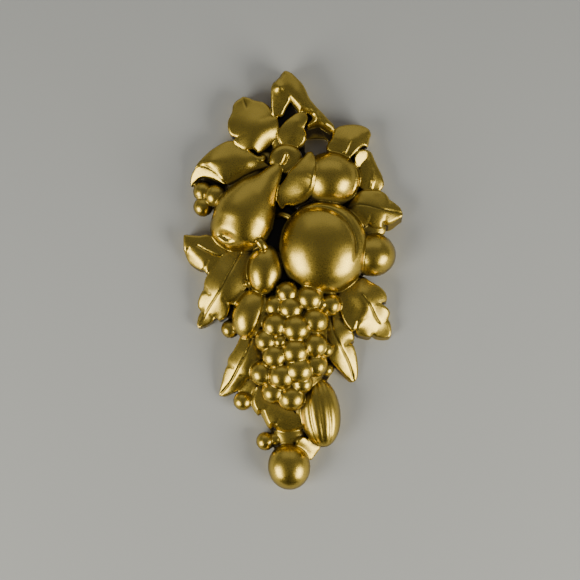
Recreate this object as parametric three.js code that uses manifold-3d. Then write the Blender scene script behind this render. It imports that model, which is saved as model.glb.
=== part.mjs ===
// A fruit and leaf wall plaque: one moulded relief with a flat back, made to hang on a wall.
//
// Millimetres. +Z is up, the wall is the plane Y = 0, and the relief stands out from it towards -Y.
// The origin is the hanging point, on the flat back near the top and over the centre of mass.
// "Rise" is the height of a point above the wall, so a rise of 20 is y = -20.
// Every fruit, leaf and twig is a closed body of its own, sunk into its neighbours; all of them are
// then joined into the single solid that the mould gives, and cut off flat at the wall.

import * as THREE from "three";
import { ParametricGeometry } from "three/addons/geometries/ParametricGeometry.js";
import { mergeVertices } from "three/addons/utils/BufferGeometryUtils.js";
import Module from "manifold-3d";

const wasm = await Module();
wasm.setup();

// ---- Driving dimensions -------------------------------------------------------------------------

const LEAF_EDGE = 3; // thickness of a leaf at its rim
const PLATE_RISE = 7; // thickness of the ground that ties the fruit together
const BELOW_WALL = 2; // how far bodies run past the wall before the flat cut
const BUNCH = { at: [3, -136], half: [26, 46], waist: 4, depth: 19 }; // the mound the grapes sit on
const GRAPE_LIFT = { low: 11, crown: 15, reach: [34, 62] }; // a grape's centre, from the bunch's rim to its crown

// ---- Round fruit: centre on the wall, half width and height, rise of the widest line, depth -------

const PEACH_LOBES = [
  { at: [20.5, -61], half: [30.5, 31], waist: 15, depth: 27 },
  { at: [25, -61.5], half: [34, 36], waist: 15, depth: 14 },
];
const APPLE = { at: [34, -5], half: [20.5, 20.5], waist: 14, depth: 19, seam: 62, seamDepth: 0.06 };
const CRAB_APPLE = { at: [-3, 6.5], half: [13, 13], waist: 10, depth: 13 };
const CHERRY = { at: [66, -65.5], half: [17, 17], waist: 9, depth: 15 };
const PLUM = { at: [-1.5, -233], half: [16.7, 18.5], waist: 10, depth: 16, tilt: -8 };
const SMALL_BERRIES = [
  { at: [-61, -17.5], half: [9, 9], waist: 9, depth: 9 },
  { at: [-67, -16], half: [7.5, 8], waist: 7, depth: 8 },
  { at: [-70, -29.5], half: [7, 7.5], waist: 6, depth: 7.5 },
  { at: [-48.5, -124], half: [7, 7.5], waist: 6, depth: 7.5 },
  { at: [-38, -181], half: [7.5, 8.5], waist: 7, depth: 8 },
  { at: [-19, -213], half: [7.5, 8], waist: 7, depth: 7.5 },
  { at: [-11, -211], half: [6, 6.5], waist: 8, depth: 6 },
  { at: [28, -156], half: [5.5, 6.5], waist: 8, depth: 6 },
];

// Long fruit, ribbed or seamed along their length. A seam's angle is measured round the long axis
// from the front, towards +X.
const OLIVES = [
  { at: [-20.5, -79.5], half: [12.6, 18.5], waist: 18, depth: 12.5, tilt: 3 },
  { at: [-30.5, -112.5], half: [13.5, 20.5], waist: 15, depth: 13, tilt: 18, seam: 33, seamDepth: 0.12 },
];
const GOURD = {
  at: [22.5, -189.5], half: [16.5, 28.5], waist: 9, depth: 15, tilt: -9,
  ribs: 12, ribDepth: 0.13,
};

// The pear, from its blossom end up to the foot of its stalk.
const PEAR = {
  line: [[-55, 13, -58], [-50, 13, -52], [-43, 14, -42], [-35, 15, -32], [-26, 16, -20], [-18, 17, -9],
    [-9, 17, 3]],
  radii: [12, 21, 25.5, 25.5, 18, 10.5, 7],
  flatness: 0.88,
};

// Grapes, row by row down the bunch: centre on the wall and radius.
const GRAPES = [
  [-3, -93.5, 7.4], [14, -98.5, 9.6], [31, -104.5, 7.6],
  [2, -107.5, 8.2],
  [-13, -120.5, 8.8], [4, -123.5, 9.6], [18.5, -117.5, 8.8],
  [-18.5, -132.5, 7.6], [-8.5, -131, 6.5], [4, -140.5, 9.4], [19, -137, 8.6], [24.5, -139, 6.8],
  [-13, -144, 9],
  [6, -156, 9.8], [-7, -160, 9.2], [16, -152.5, 8],
  [-22, -158.5, 9], [8, -165.5, 7.6],
  [-15, -172, 8.6], [1, -178, 9],
];

// ---- Twigs: centre line [x, rise, z] and radius at each of its points ------------------------------

const BRANCH = {
  line: [[-6, 9, 78], [-1, 11, 68], [7, 12, 58.5], [16, 12, 49], [25, 11, 41], [36, 9, 31]],
  radii: [8, 9.5, 8.5, 7, 6.5, 6],
};
const BRANCH_FORK = {
  line: [[-8, 9, 75], [-10, 10, 62], [-12.5, 9, 50], [-15, 8, 38]],
  radii: [8, 7, 4.5, 4],
};
const BRANCH_SPUR = { line: [[20, 9, 43], [18, 8, 38], [14, 7, 33]], radii: [4.5, 4.5, 3.5] };
const STALKS = [
  { line: [[-17, 12, -38], [-9.5, 16, -34.5], [2, 20, -39.5]], radii: [2.4, 2.2, 2.2] },
  { line: [[-20, 26, -63], [-23, 28, -58], [-26, 29, -54]], radii: [3.6, 3, 2.8] },
  { line: [[-6, 20, 6], [-5, 24, 9], [-4, 26, 12.5]], radii: [2, 2.2, 2.4] },
  { line: [[-30, 14, -91], [-34, 17, -88.5], [-36, 17, -87]], radii: [2.4, 2.6, 2.2] },
];
const CURLED_LIP = {
  line: [[-79, 8, -12], [-76.5, 12, -4.5], [-70, 15, -1.5], [-62, 16, -4.5], [-55, 15, -8.5], [-49, 13, -12]],
  radii: [2.5, 4.2, 4.8, 4.2, 3, 1.8],
};

// ---- Leaves -----------------------------------------------------------------------------------------
// base, tip: the two ends of the midrib; bow: how far it bends to its left.
// left, right: the points of the lobes on each side, from base to tip, at most 3 a side.
// notch: how deep the nick past each lobe cuts; belly: how full the rim is between two points; both
// are shares of the distance between them.
// rise: height of the rim at base and tip; arch: its extra height half way; camber: height of the
// blade over its rim; crease: depth of the midrib; pillow: swelling of each lobe.
// foot: share of the leaf's outline that its foot takes on the wall.

const LEAF = { bow: 0, notch: 0.22, belly: 0.16, arch: 0, camber: 4, crease: 1.8, pillow: 0.8, foot: 0.8 };
const LEAVES = [
  // round the head of the plaque
  {
    base: [-24, 12], tip: [-38, 59], rise: [18, 15], camber: 5, arch: 2,
    left: [[-45, 20], [-50, 37], [-45, 54]], right: [[-10, 30], [-16, 51], [-29, 56]],
  },
  {
    base: [-3, 17], tip: [11, 46], rise: [14, 16], foot: 1,
    left: [[-9, 27], [2, 43]], right: [[12, 25], [13, 41]],
  },
  {
    base: [-22, 5], tip: [-79, -16], notch: 0, belly: 0.1, bow: -6, rise: [12, 8], camber: 7, crease: 0.6,
    left: [[-38, -8], [-56, -15]], right: [[-45, 24], [-64, 15.5], [-77, 0]],
  },
  {
    base: [44, 10], tip: [63, 34], rise: [17, 12],
    left: [[28, 20], [34, 34], [51, 37]], right: [[61, 15], [62, 25]],
  },
  {
    base: [56, 15], tip: [73, -17], notch: 0.05, rise: [10, 8],
    left: [[64, 13], [72, -3]], right: [[52, 4], [54, -12]],
  },
  {
    base: [-3, -29], tip: [15, 16], notch: 0.1, belly: 0.12, bow: -2, rise: [20, 19], camber: 5,
    left: [[-11, -22], [0, -1]], right: [[12, -23], [17.5, -9], [18.5, 7]],
  },
  {
    base: [46, -31], tip: [88, -34], rise: [15, 8],
    left: [[56, -15], [72, -16], [82, -25]], right: [[58, -45], [73, -48.5], [82, -41.5]],
  },
  // down the left side
  {
    base: [-50, -64], tip: [-85.5, -52], rise: [14, 9],
    left: [[-59, -75], [-69, -81], [-83, -71]], right: [[-61, -51], [-71, -50]],
  },
  {
    base: [-42, -71], tip: [-73.5, -124.5], rise: [16, 8],
    left: [[-34, -90], [-44, -106], [-54, -118.5]], right: [[-57, -71], [-68, -88], [-74, -107]],
  },
  {
    base: [-25, -131], tip: [-57, -178], notch: 0.14, rise: [16, 8],
    left: [[-22, -152], [-33, -166], [-44, -176]], right: [[-38, -130], [-49.5, -148], [-54, -164]],
  },
  // down the right side
  {
    base: [45, -93], tip: [79, -131], rise: [17, 8], camber: 5,
    left: [[59, -83], [75, -99], [78.5, -114]], right: [[38, -107], [48, -127], [64, -132]],
  },
  {
    base: [29, -116], tip: [50, -169], notch: 0.12, rise: [15, 8],
    left: [[44, -121], [50, -132], [53.5, -153]], right: [[24, -129], [29, -147], [40, -163]],
  },
  // under the grapes
  {
    base: [-22, -168], tip: [13, -198], notch: 0.14, belly: 0.22, rise: [14, 15], camber: -1, crease: 0.8, foot: 1,
    left: [[-8, -168], [12, -182]], right: [[-32.5, -182], [-19, -204.5], [-3, -208.5]],
  },
  {
    base: [5, -211], tip: [18, -230], notch: 0.05, rise: [7, 6], camber: 1, crease: 0.4,
    left: [[14, -210], [24, -220]], right: [[11, -220]],
  },
];

// The ground: its outline stays inside the fruit and leaves, and three gaps go right through it.
const PLATE_OUTLINE = [[-12, 62], [12, 44], [34, 30], [56, 26], [64, 0], [72, -30], [76, -66], [60, -94],
  [62, -118], [44, -128], [42, -148], [26, -172], [30, -204], [12, -224], [0, -240], [-12, -226], [-16, -206],
  [-30, -182], [-40, -160], [-36, -136], [-58, -108], [-64, -84], [-74, -64], [-58, -46], [-66, -22],
  [-70, -2], [-54, 12], [-40, 40]];
const GAPS = [
  { at: [-3.5, 43], half: [5, 6] },
  { at: [20, 23], half: [7, 7] },
  { at: [-13, -49], half: [4.5, 9] },
];

// ---- Turning a shape into a solid ------------------------------------------------------------------

// The triangles of a closed geometry as a solid. Points that coincide are one, and triangles that
// close up at a pole or a leaf's end are dropped.
function solidFrom(geometry) {
  geometry.deleteAttribute("normal");
  geometry.deleteAttribute("uv");
  const merged = mergeVertices(geometry, 1e-3);
  const corners = merged.index.array;
  const kept = [];
  for (let i = 0; i < corners.length; i += 3) {
    const [a, b, c] = [corners[i], corners[i + 1], corners[i + 2]];
    if (a !== b && b !== c && c !== a) kept.push(a, b, c);
  }
  const vertProperties = merged.attributes.position.array;
  return new wasm.Manifold(new wasm.Mesh({ numProp: 3, vertProperties, triVerts: new Uint32Array(kept) }));
}

const radians = THREE.MathUtils.degToRad;
const onWall = ([x, z]) => new THREE.Vector2(x, z);

// ---- Fruit: a mould has no undercut, so a body runs straight back to the wall from its widest line ----

// A round fruit: a quarter ellipse and a straight skirt, turned about an axis that points off the wall.
function roundFruit({ at: [x, z], half: [a, b], waist, depth, tilt = 0 }, around = 18) {
  const rings = Math.ceil(around / 4);
  const profile = [new THREE.Vector2(0, -BELOW_WALL), new THREE.Vector2(1, -BELOW_WALL)];
  for (let i = 0; i <= rings; i++) {
    const angle = (Math.PI / 2) * (i / rings);
    profile.push(new THREE.Vector2(i === rings ? 0 : Math.cos(angle), waist + depth * Math.sin(angle)));
  }
  const fruit = new THREE.LatheGeometry(profile, around);
  fruit.rotateX(Math.PI).scale(a, 1, b).rotateY(radians(tilt)).translate(x, 0, z);
  return solidFrom(fruit);
}

// How far ribs and a seam cut into a long fruit at an angle round its axis, as a share of its radius.
function furrow(angle, { ribs = 0, ribDepth = 0, seam, seamDepth = 0 }) {
  const rib = ribDepth * (1 - Math.abs(Math.sin((ribs * angle) / 2)) ** 0.7);
  const line = seam === undefined ? 0 : seamDepth * Math.exp(-(((angle - radians(seam)) / 0.15) ** 2));
  return rib + line;
}

// A body along a line on the wall. section(u) gives its half width, depth and waist at a place u
// along the line, and marks gives its furrows. Round it run the front's stations, from one side to
// the other, and then its foot on the wall.
function longBody(line, section, steps, fronts, marks = {}) {
  const surface = (w, u, target) => {
    const station = Math.round(w * (fronts + 3));
    const turn = [fronts + 1, fronts + 2].includes(station) ? (fronts + 1.5 - station) * 2 : null;
    const angle = (Math.PI / 2) * (turn ?? (2 * (station % (fronts + 3))) / fronts - 1);
    const { half, depth, waist } = section(u);
    const cut = 1 - furrow(angle, marks);
    const along = line.getTangent(u);
    const outward = new THREE.Vector2(along.y, -along.x);
    const place = line.getPoint(u).addScaledVector(outward, half * cut * Math.sin(angle));
    target.set(place.x, turn === null ? -waist - depth * cut * Math.cos(angle) : BELOW_WALL, place.y);
  };
  return solidFrom(new ParametricGeometry(surface, fronts + 3, steps));
}

// An ellipsoid whose furrows run from end to end. Its stations crowd towards its ends.
function longFruit(fruit, steps, fronts) {
  const { at, half: [a, b], waist, depth, tilt = 0 } = fruit;
  const reach = new THREE.Vector2(0, b).rotateAround(new THREE.Vector2(), radians(-tilt));
  const middle = onWall(at);
  const line = new THREE.LineCurve(middle.clone().sub(reach), middle.clone().add(reach));
  line.getPoint = (u) => middle.clone().addScaledVector(reach, -Math.cos(Math.PI * u));
  const section = (u) => ({ half: a * Math.sin(Math.PI * u), depth: depth * Math.sin(Math.PI * u), waist });
  return longBody(line, section, steps, fronts, fruit);
}

// A twig, or any body of changing radius along a curve, rounded off at both ends.
function limb({ line, radii, flatness = 1 }, steps = 8, fronts = 6) {
  const path = new THREE.SplineCurve(line.map(([x, , z]) => new THREE.Vector2(x, z)));
  const rises = new THREE.SplineCurve(line.map(([, rise], i) => new THREE.Vector2(i, rise)));
  const swell = new THREE.SplineCurve(radii.map((r, i) => new THREE.Vector2(i, r)));
  const section = (u) => {
    const half = swell.getPoint(u).y * Math.sqrt(Math.max(0, 1 - Math.abs(2 * u - 1) ** 6));
    return { half, depth: half * flatness, waist: rises.getPoint(u).y };
  };
  return longBody(path, section, steps, fronts);
}

// Grapes ride on a dome, so those at the middle of the bunch stand highest.
function grapes() {
  const { low, crown, reach: [across, down] } = GRAPE_LIFT;
  const [middle, centre] = BUNCH.at;
  return GRAPES.map(([x, z, r]) => {
    const fall = ((x - middle) / across) ** 2 + ((z - centre) / down) ** 2;
    return roundFruit({ at: [x, z], half: [r, r], waist: low + crown * (1 - fall), depth: r }, 9);
  });
}

// ---- Leaves ------------------------------------------------------------------------------------------

// Stations round a leaf: the blade from rim to rim, then the rim's lower edge and the foot.
const AROUND = [
  ...[-1, -0.5, 0, 0.5, 1].map((v) => ({ v, level: "blade" })),
  { v: 1, level: "under" }, { v: 1, level: "foot" }, { v: -1, level: "foot" }, { v: -1, level: "under" },
  { v: -1, level: "blade" },
];

// The rim on one side, at a share t of the way from base to tip: out to each lobe in turn, with a
// nick just past its point.
function rimPoint(points, t, { notch, belly }) {
  const last = points.length - 1;
  const i = Math.min(last - 1, Math.floor(t * last + 1e-6));
  const f = t * last - i;
  const leg = points[i + 1].clone().sub(points[i]);
  const nick = i === 0 ? 0 : notch * Math.exp(-(((f - 0.28) / 0.17) ** 2)) * Math.min(1, 6 * f);
  const swell = belly * (i === 0 ? 1.6 : 1) * Math.sin(Math.PI * f);
  const outward = new THREE.Vector2(-leg.y, leg.x);
  return points[i].clone().addScaledVector(leg, f).addScaledVector(outward, swell - nick);
}

function leaf(shape) {
  const given = { ...LEAF, ...shape };
  const [base, tip] = [given.base, given.tip].map(onWall);
  const run = tip.clone().sub(base);
  const middle = base.clone().add(tip).multiplyScalar(0.5);
  const bend = middle.clone().addScaledVector(new THREE.Vector2(-run.y, run.x).normalize(), given.bow);
  const midrib = new THREE.QuadraticBezierCurve(base, bend, tip);
  const rims = [given.left, given.right].map((lobes) => [base, ...lobes.map(onWall), tip]);

  const legs = rims.map((rim) => rim.length - 1);
  const steps = 3 * (legs[0] === legs[1] ? legs[0] : 4); // so that each lobe's point is a station

  const surface = (w, t, target) => {
    const { v, level } = AROUND[Math.round(w * (AROUND.length - 1))];
    const side = v < 0 ? 0 : 1;
    const hand = side === 0 ? given : { notch: -given.notch, belly: -given.belly };
    const place = midrib.getPoint(t).lerp(rimPoint(rims[side], t, hand), Math.abs(v));
    if (level === "foot") place.lerp(middle, 1 - given.foot);

    const lobePhase = t * legs[side];
    const swell = Math.abs(Math.sin(Math.PI * lobePhase)) ** 0.6;
    const open = Math.sin(Math.PI * t) ** 0.5 || 0;
    const rim = THREE.MathUtils.lerp(...given.rise, t) + given.arch * 4 * t * (1 - t);
    const relief = given.pillow * swell * 4 * Math.abs(v) * (1 - Math.abs(v)) - (v === 0 ? given.crease : 0);
    const blade = given.camber * (1 - v * v) + relief;
    const drop = level === "under" ? LEAF_EDGE : 0;
    target.set(place.x, level === "foot" ? BELOW_WALL : drop - rim - open * blade, place.y);
  };
  return solidFrom(new ParametricGeometry(surface, AROUND.length - 1, steps));
}

// ---- Ground -----------------------------------------------------------------------------------------

function plate() {
  const rim = new THREE.SplineCurve([...PLATE_OUTLINE, PLATE_OUTLINE[0]].map(onWall));
  const outline = new THREE.Shape(rim.getPoints(PLATE_OUTLINE.length).slice(0, -1));
  for (const { at: [x, z], half: [a, b] } of GAPS) {
    outline.holes.push(new THREE.Path().absellipse(x, z, a, b, 0, 2 * Math.PI));
  }
  const depth = PLATE_RISE + BELOW_WALL;
  const slab = new THREE.ExtrudeGeometry(outline, { depth, bevelEnabled: false, curveSegments: 6 });
  slab.rotateX(Math.PI / 2).translate(0, BELOW_WALL, 0);
  return solidFrom(slab);
}

// ---- The plaque ----------------------------------------------------------------------------------------

const bodies = [
  plate(),
  roundFruit(BUNCH, 16),
  ...PEACH_LOBES.map((lobe) => roundFruit(lobe, 22)),
  ...[CRAB_APPLE, CHERRY, PLUM].map((fruit) => roundFruit(fruit, 16)),
  ...SMALL_BERRIES.map((berry) => roundFruit(berry, 9)),
  ...grapes(),
  ...[APPLE, ...OLIVES].map((fruit) => longFruit(fruit, 7, 10)),
  longFruit(GOURD, 9, 18),
  limb(PEAR, 10, 12),
  ...[BRANCH, BRANCH_FORK, BRANCH_SPUR, CURLED_LIP].map((twig) => limb(twig)),
  ...STALKS.map((stalk) => limb(stalk, 4, 4)),
  ...LEAVES.map((shape) => leaf(shape)),
];

// Everything behind the wall is cut away, which leaves the flat back.
const room = solidFrom(new THREE.BoxGeometry(400, 120, 500).translate(0, -60, -80));
const relief = wasm.Manifold.union(bodies).intersect(room);

const { vertProperties, triVerts } = relief.getMesh();
const geometry = new THREE.BufferGeometry()
  .setAttribute("position", new THREE.BufferAttribute(vertProperties, 3))
  .setIndex(new THREE.BufferAttribute(triVerts, 1));
geometry.computeVertexNormals();

const gold = new THREE.MeshStandardMaterial({ color: 0x9c7f35, roughness: 0.32, metalness: 0.9 });
const plaque = new THREE.Group();
const mesh = new THREE.Mesh(geometry, gold);
mesh.name = "fruit_relief";
plaque.add(mesh);

export default plaque;
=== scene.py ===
import math

import bmesh
import bpy
import numpy as np
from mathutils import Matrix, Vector


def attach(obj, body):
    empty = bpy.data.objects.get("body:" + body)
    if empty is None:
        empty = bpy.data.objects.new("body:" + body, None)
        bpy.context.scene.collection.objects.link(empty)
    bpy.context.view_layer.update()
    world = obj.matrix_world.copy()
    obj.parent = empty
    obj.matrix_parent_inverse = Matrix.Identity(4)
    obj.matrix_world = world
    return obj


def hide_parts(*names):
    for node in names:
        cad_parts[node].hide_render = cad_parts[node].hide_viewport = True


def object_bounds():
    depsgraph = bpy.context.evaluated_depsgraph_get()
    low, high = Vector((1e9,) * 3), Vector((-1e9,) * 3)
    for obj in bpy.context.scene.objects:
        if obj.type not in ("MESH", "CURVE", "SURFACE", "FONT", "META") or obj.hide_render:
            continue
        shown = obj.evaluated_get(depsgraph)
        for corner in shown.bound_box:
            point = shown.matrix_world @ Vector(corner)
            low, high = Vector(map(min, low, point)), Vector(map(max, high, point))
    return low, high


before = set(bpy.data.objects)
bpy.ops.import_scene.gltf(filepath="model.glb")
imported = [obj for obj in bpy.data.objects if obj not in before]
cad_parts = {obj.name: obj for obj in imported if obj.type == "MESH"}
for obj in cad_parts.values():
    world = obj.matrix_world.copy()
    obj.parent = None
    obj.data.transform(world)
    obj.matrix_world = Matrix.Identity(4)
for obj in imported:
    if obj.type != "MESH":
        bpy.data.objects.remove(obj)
cad_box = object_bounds()


# ---------------------------------------------------------------------------------------------
# The camera, square on to the plaque at arm's length and a little below its hanging point.
# Here and below, sizes are in millimetres until a mesh is made. X is to the right, Z up, and
# "rise" is the height above the wall, so a point with a rise of 20 is at y = -20.
MM = 0.001
VIEW_CENTRE = (-0.8, -93.8)
VIEW_HEIGHT = 453.6  # at the middle of the relief
VIEW_DISTANCE = 968.0
MIDDLE_RISE = 18.0
SENSOR = 36.0
NEAREST = 50.0

camera = bpy.data.objects.new("camera", bpy.data.cameras.new("camera"))
camera.data.sensor_width = SENSOR
camera.data.lens = SENSOR * (VIEW_DISTANCE - MIDDLE_RISE) / VIEW_HEIGHT
camera.data.clip_start = NEAREST * MM
camera.location = (VIEW_CENTRE[0] * MM, -VIEW_DISTANCE * MM, VIEW_CENTRE[1] * MM)
camera.rotation_euler = (math.pi / 2, 0, 0)
bpy.context.collection.objects.link(camera)
bpy.context.scene.camera = camera


# ---------------------------------------------------------------------------------------------
# The wall: a plain pale sheet just behind the flat back. It is only there from the front, so
# that the back of the plaque can be seen too.
WALL_GAP = 0.4
WALL_SIZE = 6000.0
WALL_COLOUR = (0.47, 0.485, 0.545, 1)
WALL_ROUGHNESS = 0.75

wall_mesh = bpy.data.meshes.new("wall")
side, wall_y = WALL_SIZE / 2 * MM, WALL_GAP * MM
wall_mesh.from_pydata(
    [(x, wall_y, z) for x, z in ((-side, -side), (side, -side), (side, side), (-side, side))],
    [], [(0, 1, 2, 3)])
wall = bpy.data.objects.new("wall", wall_mesh)
wall.visible_shadow = False
bpy.context.collection.objects.link(wall)

wall_paint = bpy.data.materials.new("wall_paint")
wall_paint.use_nodes = True
nodes, links = wall_paint.node_tree.nodes, wall_paint.node_tree.links
wall_shader = nodes["Principled BSDF"]
wall_shader.inputs["Base Color"].default_value = WALL_COLOUR
wall_shader.inputs["Roughness"].default_value = WALL_ROUGHNESS
clear = nodes.new("ShaderNodeBsdfTransparent")
facing = nodes.new("ShaderNodeNewGeometry")
one_sided = nodes.new("ShaderNodeMixShader")
links.new(facing.outputs["Backfacing"], one_sided.inputs["Fac"])
links.new(wall_shader.outputs["BSDF"], one_sided.inputs[1])
links.new(clear.outputs["BSDF"], one_sided.inputs[2])
links.new(one_sided.outputs["Shader"], nodes["Material Output"].inputs["Surface"])
wall_mesh.materials.append(wall_paint)


# ---------------------------------------------------------------------------------------------
# Soft studio light: two tall boxes low to the left and right, a dim one overhead, one behind for
# the back of the plaque, and a sky that is dim ahead and nearly dark below. In metres and watts.
LIGHT_TARGET = np.array((0.0, -0.02, -0.087))
WARM, WHITE = (1.0, 0.96, 0.74), (1, 1, 1)
SOFT_BOXES = {
    # name: (direction from the plaque, distance, (width, height), power, colour)
    "box_left": ((-0.77, -0.46, -0.45), 1.5, (0.75, 0.95), 20.5, WARM),
    "box_right": ((0.77, -0.46, -0.45), 1.5, (0.75, 0.95), 22.0, WARM),
    "overhead": ((0.0, -0.45, 0.9), 2.2, (3.0, 1.6), 4.0, WHITE),
    "back_light": ((0.4, 0.8, 0.45), 2.0, (1.5, 1.5), 30.0, WHITE),
}
SKY_COLOUR = (0.95, 0.97, 1.0, 1)
SKY, AHEAD, FLOOR = 0.197, 0.12, 0.015  # strengths
SKY_SPAN, FLOOR_SPAN = (0.25, 0.7), (-0.7, 0.0)  # from height to height of a direction

for name, (direction, distance, size, power, colour) in SOFT_BOXES.items():
    lamp = bpy.data.lights.new(name, "AREA")
    lamp.shape = "RECTANGLE"
    lamp.size, lamp.size_y = size
    lamp.energy = power
    lamp.color = colour
    box = bpy.data.objects.new(name, lamp)
    unit = np.array(direction) / np.linalg.norm(direction)
    box.location = LIGHT_TARGET + unit * distance
    away = box.location - Vector(LIGHT_TARGET)
    box.rotation_euler = away.to_track_quat("Z", "Y").to_euler()
    bpy.context.collection.objects.link(box)


def map_range(tree, value, first, last, to_first=0.0, to_last=1.0, smooth=False):
    """The socket of a node that turns one span of values into another."""
    node = tree.nodes.new("ShaderNodeMapRange")
    node.interpolation_type = "SMOOTHSTEP" if smooth else "LINEAR"
    for name, limit in (("From Min", first), ("From Max", last), ("To Min", to_first), ("To Max", to_last)):
        node.inputs[name].default_value = limit
    tree.links.new(value, node.inputs["Value"])
    return node.outputs["Result"]


def combine(tree, operation, first, second, kind="ShaderNodeMath"):
    """A node that works out something from two values or sockets."""
    node = tree.nodes.new(kind)
    node.operation = operation
    for socket, value in zip(node.inputs, (first, second)):
        if isinstance(value, bpy.types.NodeSocket):
            tree.links.new(value, socket)
        else:
            socket.default_value = value
    return node


world = bpy.data.worlds.new("studio")
world.use_nodes = True
tree = world.node_tree
sky = tree.nodes["Background"]
sky.inputs["Color"].default_value = SKY_COLOUR
around = tree.nodes.new("ShaderNodeTexCoord")
split = tree.nodes.new("ShaderNodeSeparateXYZ")
tree.links.new(around.outputs["Generated"], split.inputs["Vector"])
above = map_range(tree, split.outputs["Z"], *SKY_SPAN, 0.0, SKY - AHEAD, smooth=True)
below = map_range(tree, split.outputs["Z"], *FLOOR_SPAN, FLOOR, AHEAD, smooth=True)
tree.links.new(combine(tree, "ADD", above, below).outputs["Value"], sky.inputs["Strength"])
bpy.context.scene.world = world


# ---------------------------------------------------------------------------------------------
# The ground of the moulding: a low plate of the same resin that ties the fruit together, with a
# gap right through it under the branch's spur. Low lumps fill the hollows between the leaves.
# All of it lies deep in the shade.
PAST_WALL = 2.0
PLATE_RISE = 6.0
PLATE_OUTLINE = [
    (-12, 56), (-3, 62), (8, 54), (16, 46), (26, 37), (34, 30), (56, 26), (60, 4), (66, -24), (70, -40),
    (72, -66), (56, -84), (57, -98), (58, -116), (44, -124), (42, -146), (26, -172), (30, -204), (12, -222),
    (0, -240), (-12, -226), (-16, -206), (-28, -186), (-38, -162), (-36, -136), (-56, -108), (-62, -84),
    (-74, -62), (-58, -46), (-64, -22), (-70, -4), (-54, 12), (-42, 22), (-40, 40), (-20, 46), (-15, 46)]
GAPS = {
    "under_the_spur": [(12, 25), (20, 26.5), (28, 25.5), (29.5, 20), (28, 14), (20, 13), (12, 14), (11, 20)],
}
LUMPS = {
    "under_leaf_a": dict(at=(-21, 8), half=(12, 8), waist=8, depth=4),
    "under_leaf_b": dict(at=(-38, -8), half=(20, 8), waist=9, depth=5, tilt=-35),
    "in_the_fold": dict(at=(-66, -11.5), half=(11.5, 6.5), waist=2.5, depth=4),
    "by_leaf_d": dict(at=(-10, 22), half=(5, 12), waist=9, depth=5),
    "by_leaf_q": dict(at=(13, -25), half=(14, 8), waist=9, depth=5, tilt=-10),
    "by_the_ovals": dict(at=(-12, -102), half=(9, 12), waist=12, depth=6),
    "by_leaf_j": dict(at=(36, -104), half=(10, 14), waist=11, depth=4),
    "under_leaf_f": dict(at=(62, -46), half=(13, 8), waist=8, depth=5),
    "by_the_gourd": dict(at=(9, -189), half=(8, 12), waist=9, depth=6),
    "under_leaf_m": dict(at=(-1, -208), half=(13, 11), waist=5, depth=7),
}
FOOT = 0.84  # the width of a form where it stands on the wall, against its widest line
forms = []


def smooth_line(points, steps, closed=False):
    """Points of any dimension, joined by a Catmull-Rom curve."""
    p = np.array(points, float)
    p = np.vstack([p[-1], p, p[:2]]) if closed else np.vstack([2 * p[0] - p[1], p, 2 * p[-1] - p[-2]])
    t = np.linspace(0, len(p) - 3, steps + 1)
    i = np.minimum(t.astype(int), len(p) - 4)
    f = (t - i)[:, None]
    a, b, c, d = p[i], p[i + 1], p[i + 2], p[i + 3]
    return 0.5 * (2 * b + (c - a) * f + (2 * a - 5 * b + 4 * c - d) * f**2 + (3 * b - a - 3 * c + d) * f**3)


def skin(name, rows):
    """A closed body over rows of points. Each row is a ring, and the end rings are capped."""
    rows = np.array(rows, float)
    count, around = rows.shape[:2]
    index = np.arange(count * around).reshape(count, around)
    here, ahead = index[:-1], index[1:]
    turn = lambda ring: np.roll(ring, -1, axis=1)
    quads = np.stack([here, turn(here), turn(ahead), ahead], -1).reshape(-1, 4)
    faces = quads.tolist() + [index[0][::-1].tolist(), index[-1].tolist()]
    points = rows.reshape(-1, 3) * (1, -1, 1) * MM
    mesh = bpy.data.meshes.new(name)
    mesh.from_pydata(points.tolist(), [], faces)
    form = bpy.data.objects.new(name, mesh)
    bpy.context.collection.objects.link(form)
    forms.append(form)


def make_ground():
    """The plate, filled in between its rim and the rims of its gaps."""
    mesh = bmesh.new()
    loops = [smooth_line(PLATE_OUTLINE, 120, closed=True)[:-1]]
    loops += [smooth_line(gap, 48, closed=True)[:-1] for gap in GAPS.values()]
    edges = []
    for loop in loops:
        corners = [mesh.verts.new((x * MM, PAST_WALL * MM, z * MM)) for x, z in loop]
        edges += [mesh.edges.new((corners[i - 1], corners[i])) for i in range(len(corners))]
    bmesh.ops.triangle_fill(mesh, use_beauty=True, edges=edges)
    raised = bmesh.ops.extrude_face_region(mesh, geom=mesh.faces[:])["geom"]
    for corner in raised:
        if isinstance(corner, bmesh.types.BMVert):
            corner.co.y = -PLATE_RISE * MM
    body = bpy.data.meshes.new("ground")
    mesh.to_mesh(body)
    form = bpy.data.objects.new("ground", body)
    bpy.context.collection.objects.link(form)
    forms.append(form)


def orb(at, half, waist, depth, tilt=0.0, rings=60, around=120, foot_rings=12):
    """Rings of a round form, from its foot on the wall to its front."""
    angle = np.linspace(0, math.pi / 2, rings)
    below = np.linspace(0, 1, foot_rings, endpoint=False)
    radius = np.concatenate([FOOT + (1 - FOOT) * np.sqrt(1 - (1 - below) ** 2), np.cos(angle)])
    rise = np.concatenate([-PAST_WALL + (waist + PAST_WALL) * below, waist + depth * np.sin(angle)])
    turn = np.linspace(0, 2 * math.pi, around, endpoint=False)
    lean = math.radians(tilt)
    x, z = half[0] * np.cos(turn), half[1] * np.sin(turn)
    x, z = x * math.cos(lean) + z * math.sin(lean), z * math.cos(lean) - x * math.sin(lean)
    rows = np.empty((len(radius), around, 3))
    rows[..., 0] = at[0] + radius[:, None] * x
    rows[..., 1] = rise[:, None]
    rows[..., 2] = at[1] + radius[:, None] * z
    return rows


make_ground()
for name, sizes in LUMPS.items():
    skin(name, orb(**sizes))


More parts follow.
